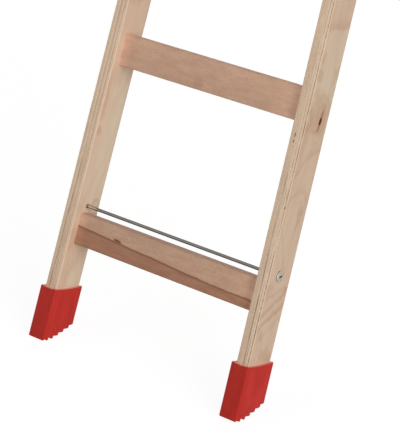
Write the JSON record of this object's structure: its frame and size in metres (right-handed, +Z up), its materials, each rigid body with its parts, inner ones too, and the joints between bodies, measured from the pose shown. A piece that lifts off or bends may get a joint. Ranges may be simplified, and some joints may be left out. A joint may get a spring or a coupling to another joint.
{
  "type": "wooden rung ladder",
  "caption": "Leaning wooden ladder with laminated stiles, tenoned rectangular rungs, steel tie rods and red moulded shoes with stepped soles.",
  "frame": {"origin": "on the floor under the middle of the ladder's box, halfway between the stiles", "axes": "+Z up from the floor, +X across the ladder to the climber's right, -Y towards the climber; the stiles lean 22 degrees from upright towards +Y"},
  "size_m": [0.4058, 0.8014, 1.8551],
  "materials": {
    "stile_plywood": "sanded",
    "rung_beech": "sanded",
    "zinc_steel": "zinc plated",
    "red_shoe": "moulded satin"
  },
  "bodies": {
    "root": {"left_stile": "stile_plywood", "right_stile": "stile_plywood", "lower_tie_rod": "zinc_steel", "upper_tie_rod": "zinc_steel", "left_foot": "red_shoe", "right_foot": "red_shoe", "rung_1": "rung_beech", "rung_2": "rung_beech", "rung_3": "rung_beech", "rung_4": "rung_beech", "rung_5": "rung_beech", "rung_6": "rung_beech", "rung_7": "rung_beech", "lower_left_tie_nut": "zinc_steel", "lower_right_tie_nut": "zinc_steel", "upper_left_tie_nut": "zinc_steel", "upper_right_tie_nut": "zinc_steel"}
  },
  "joints": []
}
